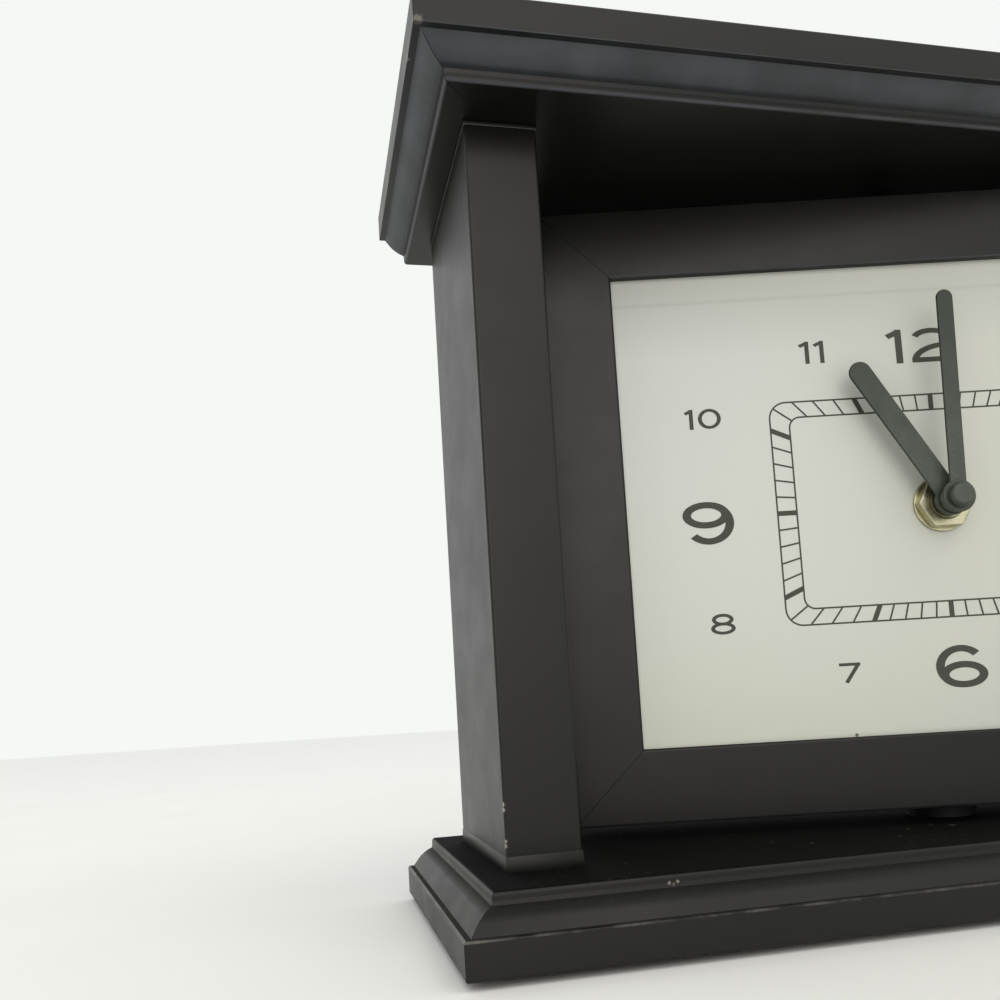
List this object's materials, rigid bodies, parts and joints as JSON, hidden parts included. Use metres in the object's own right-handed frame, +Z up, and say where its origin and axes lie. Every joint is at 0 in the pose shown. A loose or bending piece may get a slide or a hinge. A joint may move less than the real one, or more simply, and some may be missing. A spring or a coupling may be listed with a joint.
{
  "type": "photo frame clock",
  "caption": "Black wooden mantel case with moulded crown and base, holding a swivelling panel that shows a quartz clock dial on one side and a photo frame on the other.",
  "frame": {"origin": "on the resting surface, under the centre of the base", "axes": "+X to the viewer's right along the case, +Y to the back, +Z up"},
  "size_m": [0.258, 0.0844, 0.1833],
  "materials": {
    "black_painted_wood": "satin black paint over wood",
    "bare_wood": "plain sanded wood",
    "fibreboard": "pressed fibreboard",
    "zinc_steel": "zinc plated",
    "felt": "pressed felt",
    "black_nylon": "turned nylon, black",
    "nickel_magnet": "nickel plated",
    "dial_card_print": "pale satin card with printed numbers",
    "brass_fitting": "bright turned brass",
    "charcoal_hand": "charcoal satin",
    "movement_black": "moulded, lightly grained",
    "gasket_rubber": "moulded rubber",
    "gear_acetal": "moulded acetal",
    "arbor_brass": "turned brass",
    "cell_sleeve": "plain printed-free sleeve",
    "circuit_green": "lacquered board",
    "coil_copper": "enamelled copper wire",
    "photo_glass": "clear flat glass",
    "photo_paper": "glossy photo paper"
  },
  "bodies": {
    "case": {"top_board": "black_painted_wood", "crown_front": "black_painted_wood", "crown_left": "black_painted_wood", "crown_right": "black_painted_wood", "base_board": "black_painted_wood", "base_front": "black_painted_wood", "base_left": "black_painted_wood", "base_right": "black_painted_wood", "left_post": "black_painted_wood", "right_post": "black_painted_wood", "post_dowels": "bare_wood", "post_screws": "zinc_steel", "foot_pads": "felt", "pivot_pins": "zinc_steel", "thrust_washer": "black_nylon"},
    "panel": {"frame_top_rail": "black_painted_wood", "frame_bottom_rail": "black_painted_wood", "frame_left_stile": "black_painted_wood", "frame_right_stile": "black_painted_wood", "pivot_bushes": "black_nylon", "frame_magnets": "nickel_magnet", "dial_card": "dial_card_print", "dial_board": "fibreboard", "dial_fillets": "bare_wood", "movement_housing": "movement_black", "movement_cover": "movement_black", "cover_screws": "zinc_steel", "centre_bush": "brass_fitting", "movement_gasket": "gasket_rubber", "dial_washer": "brass_fitting", "dial_nut": "brass_fitting", "battery": "cell_sleeve", "battery_contacts": "zinc_steel", "stator": "zinc_steel", "drive_coil": "coil_copper", "circuit_board": "circuit_green", "quartz_crystal": "nickel_magnet"},
    "photo_frame": {"photo_top_rail": "black_painted_wood", "photo_bottom_rail": "black_painted_wood", "photo_left_stile": "black_painted_wood", "photo_right_stile": "black_painted_wood", "photo_glass": "photo_glass", "photo_print": "photo_paper", "photo_backing": "fibreboard", "backing_clips": "zinc_steel", "photo_magnets": "nickel_magnet"},
    "minute_works": {"minute_hand": "charcoal_hand", "hand_cap": "charcoal_hand", "minute_arbor": "arbor_brass"},
    "hour_works": {"hour_hand": "charcoal_hand", "hour_wheel": "gear_acetal"},
    "setting_works": {"minute_wheel": "gear_acetal", "setting_knob": "movement_black"},
    "rotor": {"rotor_pinion": "gear_acetal", "rotor_magnet": "nickel_magnet"},
    "step_works": {"step_wheel": "gear_acetal"},
    "seconds_works": {"seconds_wheel": "gear_acetal"},
    "third_works": {"third_wheel": "gear_acetal"},
    "centre_works": {"centre_wheel": "gear_acetal"}
  },
  "joints": [
    {"name": "panel_swivel", "type": "hinge", "parent": "case", "child": "panel", "pos_m": [0, 0.00525, 0.0924], "axis": [0, 0, 1], "continuous": true},
    {"name": "photo_frame_lift", "type": "slide", "parent": "panel", "child": "photo_frame", "axis": [0.213, 0.977, 0], "range_m": [0, 0.04]},
    {"name": "minute_hand_turn", "type": "hinge", "parent": "panel", "child": "minute_works", "pos_m": [0, 0.00525, 0.0895], "axis": [0.213, 0.977, 0], "continuous": true},
    {"name": "hour_hand_turn", "type": "hinge", "parent": "panel", "child": "hour_works", "pos_m": [0, 0.00525, 0.0895], "axis": [0.213, 0.977, 0], "continuous": true},
    {"name": "setting_knob_turn", "type": "hinge", "parent": "panel", "child": "setting_works", "pos_m": [0.00672, 0.00378, 0.09933], "axis": [0.213, 0.977, 0], "continuous": true},
    {"name": "rotor_turn", "type": "hinge", "parent": "panel", "child": "rotor", "pos_m": [-0.00945, 0.00731, 0.1111], "axis": [0.213, 0.977, 0], "continuous": true},
    {"name": "step_wheel_turn", "type": "hinge", "parent": "panel", "child": "step_works", "pos_m": [-0.01526, 0.00858, 0.10516], "axis": [0.213, 0.977, 0], "continuous": true},
    {"name": "seconds_wheel_turn", "type": "hinge", "parent": "panel", "child": "seconds_works", "pos_m": [-0.00764, 0.00692, 0.10066], "axis": [0.213, 0.977, 0], "continuous": true},
    {"name": "third_wheel_turn", "type": "hinge", "parent": "panel", "child": "third_works", "pos_m": [-0.01125, 0.0077, 0.09051], "axis": [0.213, 0.977, 0], "continuous": true},
    {"name": "centre_wheel_turn", "type": "hinge", "parent": "panel", "child": "centre_works", "pos_m": [0, 0.00525, 0.0895], "axis": [0.213, 0.977, 0], "continuous": true}
  ],
  "couplings": [
    {"joint": "hour_hand_turn", "follows": "minute_hand_turn", "ratio": 0.083333},
    {"joint": "setting_knob_turn", "follows": "minute_hand_turn", "ratio": -0.33333},
    {"joint": "step_wheel_turn", "follows": "rotor_turn", "ratio": -0.16667},
    {"joint": "seconds_wheel_turn", "follows": "rotor_turn", "ratio": 0.033333},
    {"joint": "third_wheel_turn", "follows": "rotor_turn", "ratio": -0.0041667},
    {"joint": "centre_wheel_turn", "follows": "rotor_turn", "ratio": 0.00055556}
  ]
}
